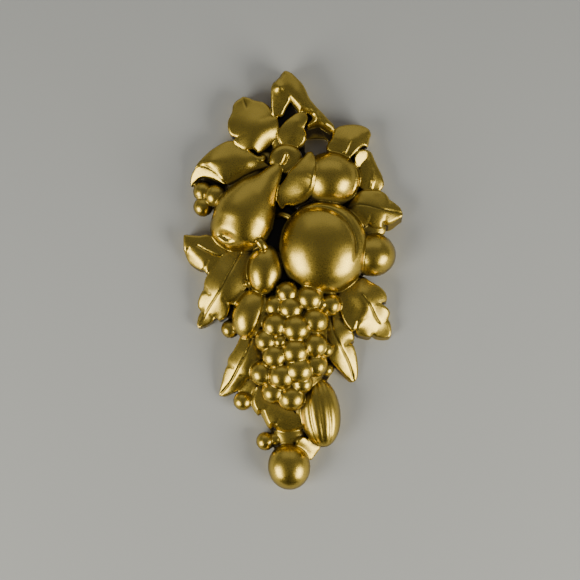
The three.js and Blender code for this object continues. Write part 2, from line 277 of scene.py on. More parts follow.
# ---------------------------------------------------------------------------------------------
# The smooth round fruit, moulded in resin with the rest: a peach with its seam, an apple, a crab
# apple, a cherry and a plum. Each swells from a foot on the wall to its widest line, and rounds
# over to the front.
PEACH = dict(at=(25.2, -61), half=(35.2, 37), waist=15, depth=27)
PEACH_CHEEK = dict(at=(19.5, -61), half=(29.8, 30.6), span=(-22, 118), groove=1.7, width=1.3, fall=0.2)
APPLE = dict(at=(31, -6.5), half=(23.4, 21.8), waist=10, depth=22.5)
APPLE_CHEEK = dict(at=(29, -7), half=(21, 20.5), span=(-45, 40), groove=0.4, width=1.4, fall=0.03)
CRAB_APPLE = dict(at=(-4, 8.5), half=(13.2, 12), waist=16, depth=6)
CRAB_DIMPLE = dict(at=(-5, 8.5), depth=2.0, reach=6.0)
CHERRY = dict(at=(64.7, -66), half=(18, 17.2), waist=9, depth=19)
PLUM = dict(at=(-1.5, -233), half=(16.7, 18.3), waist=10, depth=16, tilt=-8)
SEAM_FADE = 25  # degrees over which a seam dies away at its ends
FRONT_SHARE = 0.3  # of a fruit's rise, above which its front begins


def with_cheek(fruit, at, half, span, groove, width, fall):
    """A round fruit with the seam round one cheek, and a lower rounded shoulder outside it."""
    rows = orb(**fruit, around=260, rings=130)
    waist, depth = fruit["waist"], fruit["depth"]
    across, up = (rows[..., 0] - at[0]) / half[0], (rows[..., 2] - at[1]) / half[1]
    outside = (np.hypot(across, up) - 1) * min(half)
    turn = np.degrees(np.arctan2(up, across))
    part = np.clip((turn - span[0]) / SEAM_FADE, 0, 1) * np.clip((span[1] - turn) / SEAM_FADE, 0, 1)
    part *= rows[..., 1] > waist
    (mid_x, mid_z), (half_x, half_z) = fruit["at"], fruit["half"]
    reach = np.hypot((rows[..., 0] - mid_x) / half_x, (rows[..., 2] - mid_z) / half_z)
    past = np.maximum(outside, 0)
    band = past / (past + np.maximum(1 - reach, 0) * min(fruit["half"]) + 1e-6)
    at_seam = np.clip(reach - past / min(half), 0, 1)
    shoulder = waist + depth * (1 - fall) * np.sqrt(np.maximum((1 - at_seam**2) * (1 - band**2), 0))
    share = np.clip(past / width, 0, 1)
    rows[..., 1] += part * share**2 * (3 - 2 * share) * (shoulder - rows[..., 1])
    rows[..., 1] -= part * groove * np.exp(-((outside / width) ** 2))
    return rows


def with_dimple(rows, at, depth, reach):
    """Presses a soft hollow into the front of a fruit."""
    away = np.hypot(rows[..., 0] - at[0], rows[..., 2] - at[1])
    front = rows[..., 1] > FRONT_SHARE * rows[..., 1].max()
    rows[..., 1] -= depth * np.exp(-((away / reach) ** 2)) * front
    return rows


skin("peach", with_cheek(PEACH, **PEACH_CHEEK))
skin("apple", with_cheek(APPLE, **APPLE_CHEEK))
skin("crab_apple", with_dimple(orb(**CRAB_APPLE), **CRAB_DIMPLE))
skin("cherry", orb(**CHERRY))
skin("plum", orb(**PLUM))


# ---------------------------------------------------------------------------------------------
# The pear, of the same resin, lies on its side across the other fruit. Its lower end has a
# puckered hollow, where the blossom was, with a raised lip below it.
PEAR_LINE = [(-49, 9, -63), (-47.5, 11, -59), (-44.5, 13.5, -52), (-39.5, 15.5, -43), (-35, 16.5, -33),
             (-27, 17.5, -20), (-18, 18, -9), (-8, 18, 5)]
PEAR_RADII = [9, 15.5, 21.3, 23.7, 24, 18.5, 11, 7.5]
PEAR_FLATNESS = 0.88
BLOSSOM = dict(at=(-50.5, -52), slant=-24, reach=(6.5, 2.8), depth=4.0, folds=5, fold_depth=0.6,
               fold_ring=(0.65, 0.45), lip=((-56.5, -54.5), (-47, -62), 1.6, 2.4), lowest=5)


def to_segment(place, start, end):
    """How far places lie from a straight line between two points on the wall."""
    start, along = np.array(start[:2], float), np.subtract(end[:2], start[:2])
    share = np.clip(((place - start) @ along) / (along @ along), 0, 1)
    return np.linalg.norm(place - start - share[..., None] * along, axis=-1)


def with_blossom(rows, at, slant, reach, depth, folds, fold_depth, fold_ring, lip, lowest):
    """Presses a puckered hollow into the end of a fruit, and raises a lip beside it."""
    lean = math.radians(slant)
    dx, dz = rows[..., 0] - at[0], rows[..., 2] - at[1]
    along = (dx * math.cos(lean) + dz * math.sin(lean)) / reach[0]
    across = (dz * math.cos(lean) - dx * math.sin(lean)) / reach[1]
    away, turn = np.hypot(along, across), np.arctan2(across, along)
    front = rows[..., 1] > lowest
    pucker = np.exp(-(((away - fold_ring[0]) / fold_ring[1]) ** 2)) * (0.5 + 0.5 * np.cos(folds * turn))
    start, end, height, width = lip
    raised = height * np.exp(-((to_segment(rows[..., [0, 2]], start, end) / width) ** 2))
    rows[..., 1] += front * (raised - depth * np.exp(-(away**2)) - fold_depth * pucker)
    return rows


def limb(line, radii, flatness=1.0, steps=60, around=72, blunt=6):
    """Rings of a body of changing radius along a curve over the wall, rounded off at its ends."""
    path = smooth_line(line, steps)
    swell = smooth_line(np.array(radii, float)[:, None], steps)[:, 0]
    along = np.gradient(path[:, [0, 2]], axis=0)
    along /= np.linalg.norm(along, axis=1)[:, None]
    u = np.linspace(-1, 1, steps + 1)
    half = swell * np.sqrt(np.maximum(1 - np.abs(u) ** blunt, 0))
    angle = np.linspace(-math.pi / 2, math.pi / 2, around)
    across = np.concatenate([np.sin(angle), [FOOT, -FOOT]])
    rows = np.empty((steps + 1, around + 2, 3))
    rows[..., 0] = path[:, 0, None] + along[:, 1, None] * half[:, None] * across
    rows[..., 2] = path[:, 2, None] - along[:, 0, None] * half[:, None] * across
    rows[:, :around, 1] = path[:, 1, None] + flatness * half[:, None] * np.cos(angle)
    rows[:, around:, 1] = -PAST_WALL
    return rows


skin("pear", with_blossom(limb(PEAR_LINE, PEAR_RADII, PEAR_FLATNESS, steps=180, around=180), **BLOSSOM))


# ---------------------------------------------------------------------------------------------
# The long fruit of the moulding: two ovals, the lower one with a seam, and a gourd with furrows.
# Each is rounded from end to end along its own slanting axis, and stands on the wall like the rest.
LONG_FRUIT = {
    "upper_oval": dict(at=(-20.6, -78), half=(14, 20), waist=17, depth=13.5, tilt=3),
    "lower_oval": dict(at=(-30.8, -112.3), half=(15, 20.5), waist=14, depth=14, tilt=18,
                       furrows=[33], furrow_depth=0.1),
    "gourd": dict(at=(22.8, -190), half=(16.2, 28), waist=9, depth=15, tilt=-8,
                  furrows=[-30, 0, 28], furrow_depth=0.06, around=260),
}
FURROW_WIDTH, FURROW_SHAPE = 0.11, 1.5


def long_fruit(at, half, waist, depth, tilt=0, furrows=(), furrow_depth=0.0, steps=90, around=160):
    """Rings across a long fruit, so that its furrows run from end to end."""
    lean = math.radians(tilt)
    axis = np.array([math.sin(lean), math.cos(lean)])
    side = np.array([axis[1], -axis[0]])
    u = np.linspace(0, math.pi, steps)[:, None]
    angle = np.linspace(-math.pi / 2, math.pi / 2, around)
    cut = np.ones(around)
    for furrow in furrows:
        away = np.abs(angle - math.radians(furrow)) / FURROW_WIDTH
        cut -= furrow_depth * np.exp(-(away**FURROW_SHAPE))
    across = np.concatenate([np.sin(angle) * cut, [FOOT, -FOOT]])
    front = np.concatenate([np.cos(angle) * cut, [0, 0]])
    rows = np.empty((steps, around + 2, 3))
    flat = -np.cos(u) * half[1]
    rows[..., 0] = at[0] + flat * axis[0] + half[0] * np.sin(u) * across * side[0]
    rows[..., 2] = at[1] + flat * axis[1] + half[0] * np.sin(u) * across * side[1]
    rows[..., 1] = waist + depth * np.sin(u) * front
    rows[:, around:, 1] = -PAST_WALL
    return rows


for name, sizes in LONG_FRUIT.items():
    skin(name, long_fruit(**sizes))


# ---------------------------------------------------------------------------------------------
# The grapes, on a mound that lifts the middle of the bunch, and the loose berries round it, all
# of them balls of the same resin sunk into what is behind them. One tree of geometry nodes sets
# a ball on each point.
MOUND = dict(at=(2, -134), half=(28, 49), waist=8, depth=22)
CROWN = dict(at=(2, -134), half=(39, 64), waist=8, depth=23.5)
SWELL, SINK = 1.28, 0.7  # each grape's ball against the part of it that shows
GRAPES = [
    # x, z, radius seen, lift
    (-2.9, -95.8, 7.0, 1), (-11.8, -106.5, 7.4, -4), (14.3, -99.9, 8.7, 1), (30.4, -105, 7.2, 3),
    (24, -104.5, 3.2, 2), (-0.2, -108, 8.4, -1), (18.6, -117.6, 8.5, 1), (3.9, -123.4, 9.1, 1.5),
    (-12, -121.2, 8.2, 0.5), (-19, -133, 7.4, 0), (-8.3, -133.4, 4, 1), (3.3, -141.1, 8.7, 1.5),
    (18.4, -136.6, 8.2, 0.5), (27.2, -140.2, 4.6, 1), (-12.4, -145.2, 8, 0.5), (6.2, -155.1, 9, 1.5),
    (19, -152, 7.4, -1), (-7.2, -160.4, 8.5, 1), (-22, -158.7, 7.9, 0), (8.6, -166, 6.6, -0.5),
    (-13.2, -173.2, 7.6, 0), (0.3, -177.6, 8.4, 1)]
LOOSE_BERRIES = [
    # x, z, radius, rise
    (-59.5, -19.5, 9, 10), (-69.5, -16, 8, 6), (-69.5, -28, 7.8, 7), (-48, -124.5, 7.4, 6),
    (-38, -181.5, 7.6, 7), (-20.2, -213.4, 7.4, 6), (-12.3, -211.8, 5.8, 5), (28, -156.5, 5.6, 8)]

ROUNDNESS = 5

gold = bpy.data.materials.new("gold_paint")


def begin_tree(name, setting, kind):
    """A geometry tree with one named input. Gives the tree, its start and the input's identifier."""
    tree = bpy.data.node_groups.new(name, "GeometryNodeTree")
    for way in ("INPUT", "OUTPUT"):
        tree.interface.new_socket("Geometry", in_out=way, socket_type="NodeSocketGeometry")
    given = tree.interface.new_socket(setting, in_out="INPUT", socket_type=kind)
    return tree, tree.nodes.new("NodeGroupInput").outputs, given.identifier


def finish_tree(tree, made, form, setting, value):
    """Ends a tree in plain gold geometry, and hangs it on a form with its input set."""
    for kind in ("GeometryNodeRealizeInstances", "GeometryNodeSetMaterial"):
        step = tree.nodes.new(kind)
        tree.links.new(made, step.inputs["Geometry"])
        made = step.outputs["Geometry"]
    step.inputs["Material"].default_value = gold
    tree.links.new(made, tree.nodes.new("NodeGroupOutput").inputs["Geometry"])
    grow = form.modifiers.new(tree.name, "NODES")
    grow.node_group = tree
    grow[setting] = value


def grow_berries(name, berries):
    """Sets a ball on each point (x, z, radius, rise)."""
    mesh = bpy.data.meshes.new(name)
    mesh.from_pydata([(x * MM, -rise * MM, z * MM) for x, z, _, rise in berries], [], [])
    size = mesh.attributes.new("radius", "FLOAT", "POINT")
    size.data.foreach_set("value", [radius * MM for _, _, radius, _ in berries])
    form = bpy.data.objects.new(name, mesh)
    bpy.context.collection.objects.link(form)
    tree, start, roundness = begin_tree(name, "Roundness", "NodeSocketInt")
    ball = tree.nodes.new("GeometryNodeMeshIcoSphere")
    ball.inputs["Radius"].default_value = 1
    radius = tree.nodes.new("GeometryNodeInputNamedAttribute")
    radius.inputs["Name"].default_value = "radius"
    plant = tree.nodes.new("GeometryNodeInstanceOnPoints")
    tree.links.new(start["Roundness"], ball.inputs["Subdivisions"])
    tree.links.new(start["Geometry"], plant.inputs["Points"])
    tree.links.new(ball.outputs["Mesh"], plant.inputs["Instance"])
    tree.links.new(radius.outputs["Attribute"], plant.inputs["Scale"])
    finish_tree(tree, plant.outputs["Instances"], form, roundness, ROUNDNESS)
    forms.append(form)


def dome_rise(x, z, at, half, waist, depth):
    """How far a dome stands out over a point of the wall."""
    fall = ((x - at[0]) / half[0]) ** 2 + ((z - at[1]) / half[1]) ** 2
    return waist + depth * math.sqrt(max(1 - fall, 0))


skin("mound", orb(**MOUND))
grow_berries("grapes", [(x, z, SWELL * radius, dome_rise(x, z, **CROWN) + lift - SINK * radius)
                        for x, z, radius, lift in GRAPES])
grow_berries("loose_berries", LOOSE_BERRIES)


# ---------------------------------------------------------------------------------------------
# The short stalks of the fruit and leaves: round twigs of the same moulding, each with one end
# sunk in the fruit or leaf that it carries.
TWIGS = {
    "pear_stalk": ([(-13, 12, -36), (-8, 15, -34.5), (-2, 18, -36.5), (4, 19, -41.5)], [2.4, 2.3, 2.2, 2.2]),
    "oval_stalk": ([(-19.5, 26, -63), (-22.5, 28, -58.5), (-26, 28, -54.5)], [3.6, 3.4, 3.4]),
    "crab_apple_stalk": ([(-8, 19, 3.5), (-5.5, 22, 7.5), (-3, 25, 13)], [1.8, 2, 2.3]),
    "lower_stalk": ([(-31, 15, -92), (-34, 17, -89), (-36.5, 17, -88)], [2.2, 2.4, 2.2]),
    "leaf_a_stalk": ([(-20, 12, 12), (-24, 13.5, 8.5), (-29, 12.5, 10), (-33, 11, 14)], [2.6, 3.0, 3.0, 2.6]),
}
for name, (line, radii) in TWIGS.items():
    skin(name, limb(line, radii, around=48))


# ---------------------------------------------------------------------------------------------
# The leaves, and the flat cut branch at the head: blades of the moulding, with drafted sides down
# to the back. A side is a run of lobes, each a smooth rim through (x, z, rise) points from foot to
# tip that ends in a nick. The face is a smooth sheet through all of them and those in "sheet".
LEAF_EDGE = 2.2
SPREAD = 1.2  # draws the points of a blade in towards its rib
CREASE_FADE, ROLL_FADE, ROLL_SHAPE = 0.06, 0.08, 1.2
MIDRIB_SPAN = (0.1, 0.92)
SHEET_UNIT = 10  # keeps the numbers of a sheet's equations alike in size
NICK = dict(depth=1.0, width=2.2, valley=0.5, valley_width=1.1, reach=0.55)
LEAF = dict(sheet=(), limp=0.02, crease=0.8, crease_width=0.8, crease_span=(0.0, 1.0), edge_roll=0.9,
            edge_width=1.8, rolls=(), ridges=(), nick=1.0, undercut=1.5, draft=1.0)
BRANCH_SHEET = [
    (-9, 70, 19.4), (-4, 66, 20.3), (3, 60, 20.8), (9, 54, 20.3), (15, 48, 19.3), (21, 42, 18.3),
    (27, 37, 16.7),
    (0, 75, 17.5), (5, 71, 17.3), (9.5, 65, 17.3), (14, 57, 17), (19, 50, 16.6), (24, 45, 16), (29, 40, 15.2),
    (-3, 60, 20), (3, 53, 19.2), (8, 48, 18.6), (17, 43, 17.6), (22, 37, 16.4), (28, 33, 14.8), (-9, 62, 20),
    (-14.5, 62, 18.8), (-14.5, 52, 17.4), (-11.5, 52, 17.8), (-13.5, 43, 15.8), (16, 39, 17), (14, 36, 15.5)]
KNOT = ((-9.3, 64.6), (-9.2, 64.5), 1.8, 3.2)
CUT_WOOD = dict(ridges=[KNOT], crease=0, nick=0.1, draft=0.5)
BRANCH = {
    "branch": dict(
        rib=[(-10, 72.5, 17), (1, 64, 20), (11.5, 52, 20), (22, 41.5, 18), (34, 31, 14)],
        left=[[(-7.5, 75.8, 17), (-4.5, 78, 17), (0, 76.5, 17), (4, 73, 17), (8, 69, 17), (11, 64.5, 17),
               (15, 56, 16.5), (20, 50, 16), (25, 45, 15.5), (30, 39.5, 14.5), (34, 35.3, 14)]],
        right=[[(-14.7, 67.3, 17), (-10, 62, 19), (-1.5, 54.6, 18.6), (2.6, 50, 18), (6.8, 44.8, 17.5),
                (9.5, 46, 18)],
               [(12, 45.3, 17.5), (16.3, 42.6, 17), (16.6, 39.8, 16.8), (12.6, 36.6, 15.5), (12.8, 33.2, 15),
                (16.5, 34.3, 15.5), (21, 35.6, 15.5), (26, 33, 15), (31, 29.7, 14)]],
        rolls=[("left", 0.0, 0.06, 6, 3.2), ("right", 0.0, 0.06, 6, 3.2), ("right", 0.2, 1.0, 2.2, 3.4)]),
    "branch_fork": dict(
        rib=[(-9, 72, 18), (-9.5, 62, 19), (-11.5, 52, 16.5), (-13.3, 42.5, 14)],
        left=[[(-1, 63, 19), (-0.6, 54.5, 18.5), (-3.6, 49, 17), (-7.2, 42.5, 15)]],
        right=[[(-14.8, 66.5, 17), (-15.7, 63, 17), (-15.7, 56, 16), (-15.5, 49, 15.5), (-15, 44, 15)]],
        rolls=[("left", 0.35, 1.0, 0.9, 1.5)]),
}
LEAVES = {
    "leaf_a": dict(
        rib=[(-26, 13.5, 14.5), (-27, 24, 19), (-31, 38, 18.5), (-38, 58.5, 12.5)],
        left=[[(-30, 16.8, 17.5), (-36, 16.2, 17), (-41, 18.6, 16.5), (-45.5, 23, 16.5), (-43, 25.8, 17)],
              [(-47.5, 28, 16), (-49.6, 33, 16), (-49.4, 39, 15.5), (-46.5, 46, 14.5), (-45, 53, 13)]],
        right=[[(-20, 16.5, 12), (-14, 21.8, 12), (-8.8, 27, 13), (-9.8, 37, 15.5), (-11.2, 42, 15.5),
                (-14.6, 42.8, 15.5)],
               [(-15.2, 46, 15), (-17, 50.3, 14), (-22, 54, 13), (-29, 55.7, 12.5), (-33.5, 57.7, 12.5)]],
        sheet=[(-23, 27, 18.8), (-17, 33, 18), (-31, 21, 18.8)], crease_span=(0.8, 0.96), nick=0.3),
    "leaf_b": dict(
        rib=[(-16, 3, 14.5), (-34, 6, 18.2), (-50, 6, 19.2), (-64, 6.5, 16.8), (-76, 2, 11)],
        left=[[(-27, 0, 14), (-36, -4.5, 14.5), (-44, -9, 15), (-50, -11, 16), (-54, -7.5, 17.8),
               (-60, -1, 16.4),
               (-66, 3, 14.4), (-72, 4, 11.8)]],
        right=[[(-29, 13, 15.5), (-38, 19.5, 15), (-46, 23.5, 14), (-52, 22.7, 13.5), (-58, 19.5, 13),
                (-64, 15.5, 12.5),
                (-69, 11, 12), (-74, 5.5, 12)]],
        crease=0.0, edge_roll=0.8),
    "leaf_b_curl": dict(
        rib=[(-79.3, -12, 3.2), (-75.5, -3.5, 7.8), (-68, -1.5, 12.4), (-60, -5, 15.5), (-51.5, -11, 18)],
        left=[[(-79.7, -8, 4.8), (-78.3, -1.8, 7.1), (-74.8, 2.6, 10), (-70, 3.4, 12.5), (-64.6, 1.6, 14.6),
               (-57.5, -3, 17)]],
        right=[[(-77.2, -9.5, 4.8), (-73, -5.6, 8.4), (-68, -4.5, 11.4), (-61, -6.4, 14.4),
                (-55, -9.6, 16.7)]],
        crease=0.0, edge_roll=0.4, edge_width=1.0, draft=4.0),
    "leaf_c": dict(
        rib=[(45, 8, 16), (46, 18, 18), (52, 27, 16.5), (62.3, 31.5, 12)],
        left=[[(36, 13, 16), (28.5, 15.5, 14.5), (28.2, 20, 14.5), (31.5, 24.7, 15)],
              [(33, 29, 14), (35.5, 33.7, 13), (41, 36, 12), (48, 36.8, 11.5), (55, 36.2, 11),
               (60, 34.2, 11)]],
        right=[[(49, 12, 17.5), (54, 17, 17), (57, 19.4, 15.5), (60.3, 18.9, 13.5), (61.2, 21, 12.5),
                (62, 25, 12),
                (63.2, 28.5, 11.5)]],
        crease=0.0, ridges=[((42, 14), (46.5, 24), 1.0, 1.2)], nick=0.3, edge_roll=1.2),
    "leaf_c_curl": dict(
        rib=[(53, 2.5, 14.2), (54, 7, 15), (55.5, 11.5, 15.8), (57.5, 16.5, 16.2)],
        left=[[(50.2, 6, 16.6), (49.6, 9.5, 18), (51, 13, 18.4), (54, 15.8, 17.6)]],
        right=[[(56.3, 5.6, 13.5), (59.5, 9.5, 13.2), (60.8, 13, 13.6), (59.8, 15.6, 14.8)]],
        crease=0.0, edge_roll=0.5, edge_width=1.2),
    "leaf_d": dict(
        rib=[(-2, 18, 16.5), (1, 28, 19), (5, 38, 18.5), (8.5, 46.3, 16)],
        left=[[(-8, 21, 16.5), (-10.5, 27, 16.5), (-9, 32.5, 16.5), (-5.5, 37.2, 16.5), (-1, 41.3, 16.5),
               (4.2, 45, 16)]],
        right=[[(5.5, 16.8, 15.5), (9.5, 19.5, 16), (11.9, 24, 17), (12.1, 28.5, 17.5), (10.2, 32.3, 17.5)],
               [(11.3, 35.5, 17), (13.1, 40.5, 16.5), (12, 44.7, 16)]],
        crease=0.0, rolls=[("right", 0.0, 0.55, 1.2, 2.0)], nick=0.4, edge_roll=0.5),
    "leaf_e": dict(
        rib=[(60, 17, 11.5), (61.5, 8, 13.5), (64.5, -3, 13.5), (65.5, -10, 12.5), (70, -16, 10.5)],
        left=[[(63.5, 14.5, 10.5), (66, 9, 10.5), (68.2, 4, 10.5), (71, -1.5, 10.5), (73, -7, 10.5),
               (73.2, -12, 10)]],
        right=[[(56, 9, 13), (53.5, 3, 14), (54, -4, 14), (54.5, -10, 13), (55, -14, 12), (63, -17, 11)]],
        crease=0.0, ridges=[((65, 1), (64.3, -8), 0.8, 1.0), ((64.3, -8), (63.3, -13), 0.8, 1.0)]),
    "leaf_q": dict(
        rib=[(-8, -30.5, 19), (-3, -18, 23), (6, -3, 27), (15.3, 14.4, 21)],
        left=[[(-10.5, -26.5, 20), (-11.2, -20, 21), (-9.8, -14, 21.8), (-5.9, -9, 22.5), (-1.5, -2, 23.5),
               (4, 3.8, 23.5), (9.5, 9.8, 22.5), (12.5, 13.5, 21)]],
        right=[[(-5.9, -30, 19), (-3.3, -27.4, 20), (1.5, -28, 20), (7, -26.4, 21), (12, -24, 22.5),
                (15.8, -19.5, 25.5), (18, -14, 29.5), (18.8, -8.5, 32)],
               [(19.3, -2, 32), (19, 4, 29.5), (18.5, 9.5, 25), (16.8, 13.8, 21)]],
        sheet=[(12, -10, 29), (10, -18, 26.5), (3, -24, 22), (14, 2, 28.5)],
        crease=0.0, rolls=[("right", 0.3, 0.75, 2.0, 3.2)], nick=0.4),
    "leaf_f": dict(
        rib=[(42, -31, 12), (51, -27, 16.5), (60, -27.5, 17.5), (72, -30.5, 16.5), (88, -33.5, 12.5)],
        left=[[(47, -22, 12.5), (54, -16, 13.5), (62, -15, 13.5), (70, -15.7, 13), (75, -18.5, 12.5),
               (77.5, -22.3, 13)],
              [(82, -25.5, 12.5), (86, -29, 12.5)]],
        right=[[(48, -42, 13), (54.5, -44, 14), (58.5, -46.2, 13.5), (60.7, -43.3, 15)],
               [(64, -46, 13.5), (69, -46.7, 13), (72.6, -45.6, 13), (73.2, -41.7, 14.5)],
               [(76.5, -43, 13), (80.5, -41.5, 12.5), (85, -38.2, 12.5), (87.6, -36, 12.5)]],
        draft=5.0, rolls=[("right", 0.3, 0.9, 1.6, 2.6)], nick=0.5, crease=0.45),
    "leaf_g": dict(
        rib=[(-50, -67, 14), (-58, -66.5, 14.3), (-67, -62.5, 14.3), (-77, -57, 13.5), (-84.8, -53.5, 12.5)],
        left=[[(-52, -72, 13), (-60.5, -77, 13.3), (-65.5, -80.7, 13.3), (-69, -78.6, 13)],
              [(-73, -77.5, 10.5), (-77, -75.3, 8.5), (-81, -71.7, 8), (-83.2, -67, 9.5)],
              [(-84.5, -62, 12)]],
        right=[[(-50, -62, 13), (-57, -56, 13), (-61, -52, 13), (-66, -50.2, 13), (-72, -51, 12.7),
                (-78, -50.7, 12.5),
                (-84, -50.4, 12.5)]],
        sheet=[(-76, -67, 13.2), (-70, -72, 13.6), (-80, -62, 13), (-62, -73, 14)], draft=2.0,
        crease=1.0, crease_span=(0.05, 0.7)),
    "leaf_h": dict(
        rib=[(-37, -60, 14), (-49, -82, 19.5), (-56, -95, 19.5), (-66, -110, 11.5), (-73.3, -123.7, 9)],
        left=[[(-28, -66, 13.5), (-31, -78, 14.5), (-33, -88, 15.5), (-36, -97, 16), (-40, -103, 16.5),
               (-43.7, -105.8, 16), (-47, -105, 17)],
              [(-48.5, -110, 15.5), (-50.7, -114.7, 13.5), (-55.7, -118, 11), (-59, -115.7, 11.5)],
              [(-63, -119.7, 10), (-68.5, -122.8, 9.2)]],
        right=[[(-46, -61, 14), (-54, -67, 14.5), (-59, -73, 14.5), (-62.5, -78, 14.5), (-65, -81, 14),
                (-68, -86, 13), (-69, -93.5, 12.5)],
               [(-71.8, -98, 10.5), (-73.7, -103.5, 8.8), (-73.2, -108, 8), (-71, -110.3, 8.5)],
               [(-73.4, -115, 8), (-74.4, -120.5, 8)]],
        draft=2.0),
    "leaf_i": dict(
        rib=[(-28, -123, 14), (-33.5, -139.5, 19.5), (-41, -154, 17.5), (-48, -167, 10.5),
        (-57.2, -177.7, 4)],
        left=[[(-16, -132, 14), (-17, -150, 15.5), (-25, -159, 16), (-29, -163.7, 15), (-34, -163.7, 15.5)],
              [(-37, -168.5, 11), (-41.5, -173.3, 8.5), (-47, -176, 6.5), (-52.5, -178.2, 4.5)]],
        right=[[(-38, -124, 13.5), (-41, -133, 14), (-45.2, -141, 13.5), (-49.5, -147.5, 12),
                (-50.2, -152.5, 12)],
               [(-53, -159, 9), (-54.5, -165, 7), (-56.2, -171.5, 5)]],
        draft=1.5, crease=1.2),
    "leaf_i_back": dict(
        rib=[(-22, -158, 11), (-30, -166, 11), (-41, -176, 7.5)],
        left=[[(-20, -168, 10), (-27, -175, 10), (-33, -179, 9)]],
        right=[[(-32, -160, 10), (-38, -166, 9.5), (-43, -172, 8)]],
        crease=0.0),
    "leaf_j": dict(
        rib=[(44, -90, 16), (55, -97, 20.5), (62, -106, 19.5), (68.5, -118, 11.5), (79, -130, 7)],
        left=[[(50, -86, 15), (57, -83.5, 14), (63, -87.3, 14), (69, -90.5, 13), (73.5, -94.5, 11.5),
               (75.7, -99, 10.5), (74.8, -103, 10.5), (68.5, -103.7, 15.5)],
              [(73, -105.6, 11.5), (76.5, -108.2, 9.5), (78.4, -112, 7.5), (77, -116.7, 7.5)],
              [(78.9, -121, 7), (79.6, -126, 7)]],
        right=[[(36, -97, 16), (37, -106, 17), (40, -115, 17), (43.5, -122, 16.5), (47, -126, 16),
                (50, -125.5, 16.5), (52.4, -118.5, 18)],
               [(51.3, -128, 12.5), (56.5, -130.6, 10.5), (62, -131.3, 9.5), (64.3, -129.3, 9.5)],
               [(68, -131.3, 8), (73, -132, 7.5), (77.5, -131.4, 7)]],
        sheet=[(46, -108, 17.6), (48, -117, 17), (50.5, -108, 18.3)],
        draft=3.0, crease=1.1, crease_span=(0.25, 0.75), nick=0.35),
    "leaf_k": dict(
        rib=[(30, -110, 13), (33, -125, 17.5), (39, -138, 17), (46, -152, 8.5), (50, -167, 3.5)],
        left=[[(38, -111, 11), (44, -119, 12.5), (47.5, -125, 12.5), (49.7, -129, 11.5), (49.6, -133.6, 10.5),
               (47, -135, 11.5)],
              [(49.5, -138, 9.5), (51.7, -144, 7), (53, -152, 4.5), (53.3, -159, 3.5), (52.3, -164.5, 3.2)]],
        right=[[(25.5, -119, 14.5), (24.7, -128, 15.5), (26.5, -139, 16), (29.5, -147, 15), (34, -153, 12),
                (40, -159.5, 8), (46, -165.5, 4.5)]],
        draft=3.5),
    "leaf_m": dict(
        rib=[(-22, -168, 13), (-14, -182, 14.5), (-3, -193, 15), (13.5, -198.5, 14)],
        left=[[(-12, -170, 13.5), (-3, -180, 14), (3, -190, 14.5), (9.5, -195.5, 14.5)]],
        right=[[(-28, -170.5, 13), (-31.5, -177, 13), (-32, -182, 13), (-30.5, -187, 13), (-26.3, -192.5, 13),
                (-23.7, -190.3, 13.5)],
               [(-22.3, -194, 13), (-20, -199.5, 12.5), (-16.7, -203.5, 12.5), (-14.3, -201.5, 13.5)],
               [(-11, -204.3, 12.5), (-6, -207, 12.5), (0, -207, 12.5), (5, -205.3, 12.8), (10, -202.5, 13),
                (13, -199.8, 13.5)]],
        draft=2.0, crease=0.0, edge_roll=0.0, rolls=[("right", 0.1, 1.0, 3.0, 3.4)], nick=0.5),
    "leaf_scrap": dict(
        rib=[(5, -212, 15), (12, -214.5, 11.5), (17, -219, 7.2), (16, -229, 4.6)],
        left=[[(9.5, -209.3, 14), (14, -211.7, 11), (19, -215.7, 7), (23.2, -218.6, 4.5), (20, -224, 4)]],
        right=[[(4, -216, 13), (8.5, -221, 10), (13, -227, 6)]],
        crease=0.0, edge_roll=0.5, draft=1.0),
}
midribs = []


def respaced(line, steps):
    """A line of (x, z, rise) points sampled at even steps along the wall."""
    run = np.concatenate([[0], np.cumsum(np.linalg.norm(np.diff(line[:, :2], axis=0), axis=1))])
    wanted = np.linspace(0, run[-1], steps)
    return np.stack([np.interp(wanted, run, line[:, k]) for k in range(3)], -1)


def rim_of(base, lobes, tip, steps):
    """The rim on one side of a leaf, lobe after lobe, and the nicks between them."""
    runs, start = [], base
    for lobe in lobes:
        points = [start, *lobe] + ([tip] if lobe is lobes[-1] else [])
        runs.append(smooth_line(points, 16 * len(points)))
        start = lobe[-1]
    return respaced(np.vstack(runs), steps), [lobe[-1] for lobe in lobes[:-1]]


def sheet_through(points, limp):
    """A thin sheet bent through (x, z, rise) points. Gives a function of places on the wall."""
    points = np.array(points, float)
    places, count = points[:, :2] / SHEET_UNIT, len(points)
    bend = lambda away: np.where(away > 0, away**2 * np.log(np.maximum(away, 1e-6)), 0)
    system = np.zeros((count + 3, count + 3))
    system[:count, :count] = bend(np.linalg.norm(places[:, None] - places, axis=-1)) + limp * np.eye(count)
    system[:count, count] = system[count, :count] = 1
    system[:count, count + 1:] = places
    system[count + 1:, :count] = places.T
    weights = np.linalg.solve(system, np.concatenate([points[:, 2], np.zeros(3)]))

    def rise_at(place):
        place = place / SHEET_UNIT
        away = np.linalg.norm(place[..., None, :] - places, axis=-1)
        return bend(away) @ weights[:count] + weights[count] + place @ weights[count + 1:]

    return rise_at


def nearest_on(line, place):
    """The distance from places on the wall to a line, and how far along the line that is."""
    away = np.linalg.norm(place[..., None, :] - line[:, :2], axis=-1)
    return away.min(-1), away.argmin(-1) / (len(line) - 1)


def between(value, first, last, blend):
    """1 between two values and 0 outside them, with soft ends."""
    return np.clip((value - first) / blend + 0.5, 0, 1) * np.clip((last - value) / blend + 0.5, 0, 1)


